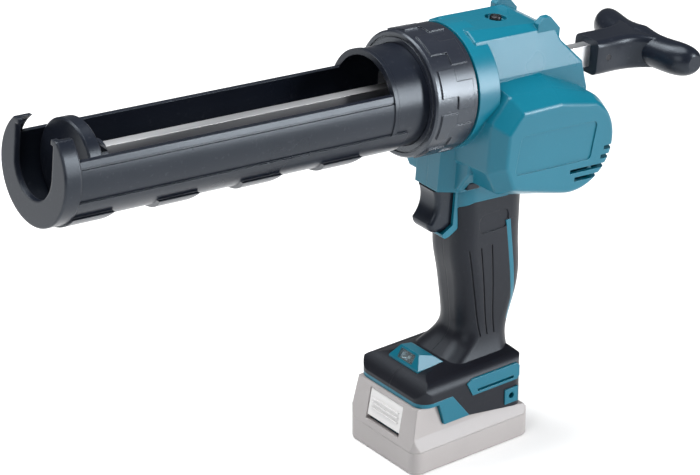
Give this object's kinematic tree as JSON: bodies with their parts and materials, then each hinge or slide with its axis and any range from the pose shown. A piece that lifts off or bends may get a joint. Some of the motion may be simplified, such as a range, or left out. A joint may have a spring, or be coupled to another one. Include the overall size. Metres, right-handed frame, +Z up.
{
  "type": "cordless caulking tool",
  "caption": "Battery caulking gun with an open cartridge trough, lock collar, toothed push rod with T pull handle, trigger grip and slide-on pack.",
  "frame": {"origin": "centre of the battery pack's flat underside, where the tool stands", "axes": "+Z up, -X towards the nozzle end of the cartridge trough, -Y the tool's left side; the barrel is pitched nose-up by 5.3 degrees"},
  "size_m": [0.451, 0.0926, 0.2837],
  "materials": {
    "teal_shell": "satin moulded",
    "black_plastic": "satin moulded",
    "soft_black": "matte elastomer",
    "steel": "brushed",
    "alloy": "cast",
    "pale_plastic": "satin moulded",
    "white_plastic": "satin moulded",
    "clear_lens": "clear",
    "board_green": "coated board",
    "cell_wrap": "heat-shrink film",
    "brass": "machined"
  },
  "bodies": {
    "housing_body": {"holder_tube": "black_plastic", "front_cap": "black_plastic", "front_bracket": "alloy", "housing_left": "teal_shell", "housing_right": "teal_shell", "housing_screws": "steel", "top_screw": "steel", "trigger_switch": "black_plastic", "motor_can": "steel", "motor_end_bell": "black_plastic", "pinion_bearing": "brass", "gear_plate_inner": "alloy", "gear_plate_outer": "alloy", "gear_pillars": "steel", "rod_guide": "black_plastic", "grip_left": "soft_black", "grip_right": "soft_black", "grip_spine": "soft_black", "hook_plate_left": "teal_shell", "hook_plate_right": "teal_shell", "hook_nut_left": "teal_shell", "hook_nut_right": "teal_shell", "lamp_housing": "teal_shell", "lamp_lens": "clear_lens", "lamp_board": "white_plastic", "control_board": "board_green", "terminal_block": "black_plastic"},
    "push_rod_body": {"push_rod": "steel", "piston": "black_plastic", "piston_screw": "steel", "pull_handle": "black_plastic", "pull_handle_pin": "steel"},
    "collar_body": {"lock_collar": "black_plastic"},
    "trigger_body": {"trigger": "black_plastic"},
    "lock_button_body": {"lock_button": "black_plastic"},
    "rack_pinion_body": {"rack_pinion": "steel", "clutch_hub": "steel"},
    "final_gear_body": {"final_gear": "steel"},
    "second_gear_body": {"second_gear": "steel"},
    "first_gear_body": {"first_gear": "steel"},
    "rotor_body": {"motor_armature": "steel", "motor_pinion": "brass", "cooling_fan": "black_plastic"},
    "battery_body": {"battery_case": "pale_plastic", "battery_cover": "pale_plastic", "battery_cells": "cell_wrap", "battery_screws": "steel"},
    "battery_button_body": {"battery_button": "white_plastic"}
  },
  "joints": [
    {"name": "rod_slide", "type": "slide", "parent": "housing_body", "child": "push_rod_body", "axis": [0.9957, 0, -0.0924], "range_m": [-0.014, 0.215]},
    {"name": "rack_pinion_spin", "type": "hinge", "parent": "housing_body", "child": "rack_pinion_body", "pos_m": [0.01926, 0, 0.21629], "axis": [0, 1, 0], "range_deg": [-83.08, 1234.72]},
    {"name": "motor_spin", "type": "hinge", "parent": "housing_body", "child": "rotor_body", "pos_m": [0.06046, 0, 0.19495], "axis": [0, 1, 0], "continuous": true},
    {"name": "first_gear_spin", "type": "hinge", "parent": "housing_body", "child": "first_gear_body", "pos_m": [0.04544, 0, 0.20101], "axis": [0, 1, 0], "continuous": true},
    {"name": "second_gear_spin", "type": "hinge", "parent": "housing_body", "child": "second_gear_body", "pos_m": [0.02535, 0, 0.19307], "axis": [0, 1, 0], "continuous": true},
    {"name": "final_gear_spin", "type": "hinge", "parent": "housing_body", "child": "final_gear_body", "pos_m": [0.01926, 0, 0.21629], "axis": [0, 1, 0], "continuous": true},
    {"name": "collar_turn", "type": "hinge", "parent": "housing_body", "child": "collar_body", "pos_m": [-0.01814, 0, 0.23539], "axis": [0.9957, 0, -0.0924], "continuous": true},
    {"name": "trigger_pull", "type": "slide", "parent": "housing_body", "child": "trigger_body", "axis": [0.9957, 0, -0.0924], "range_m": [0, 0.006], "stiffness_N_per_m": 1500, "springref_m": -0.002},
    {"name": "lock_slide", "type": "slide", "parent": "housing_body", "child": "lock_button_body", "axis": [0, 1, 0], "range_m": [-0.0026, 0.0026]},
    {"name": "battery_slide", "type": "slide", "parent": "housing_body", "child": "battery_body", "axis": [-1, 0, 0], "range_m": [0, 0.09]},
    {"name": "battery_button_press", "type": "slide", "parent": "battery_body", "child": "battery_button_body", "axis": [-0.1878, 0, -0.9822], "range_m": [0, 0.0025], "stiffness_N_per_m": 1200, "springref_m": -0.001}
  ],
  "couplings": [
    {"joint": "rack_pinion_spin", "follows": "rod_slide", "rad_per_m": 100},
    {"joint": "first_gear_spin", "follows": "motor_spin", "ratio": -0.28571},
    {"joint": "second_gear_spin", "follows": "motor_spin", "ratio": 0.081633},
    {"joint": "final_gear_spin", "follows": "motor_spin", "ratio": -0.027211}
  ]
}
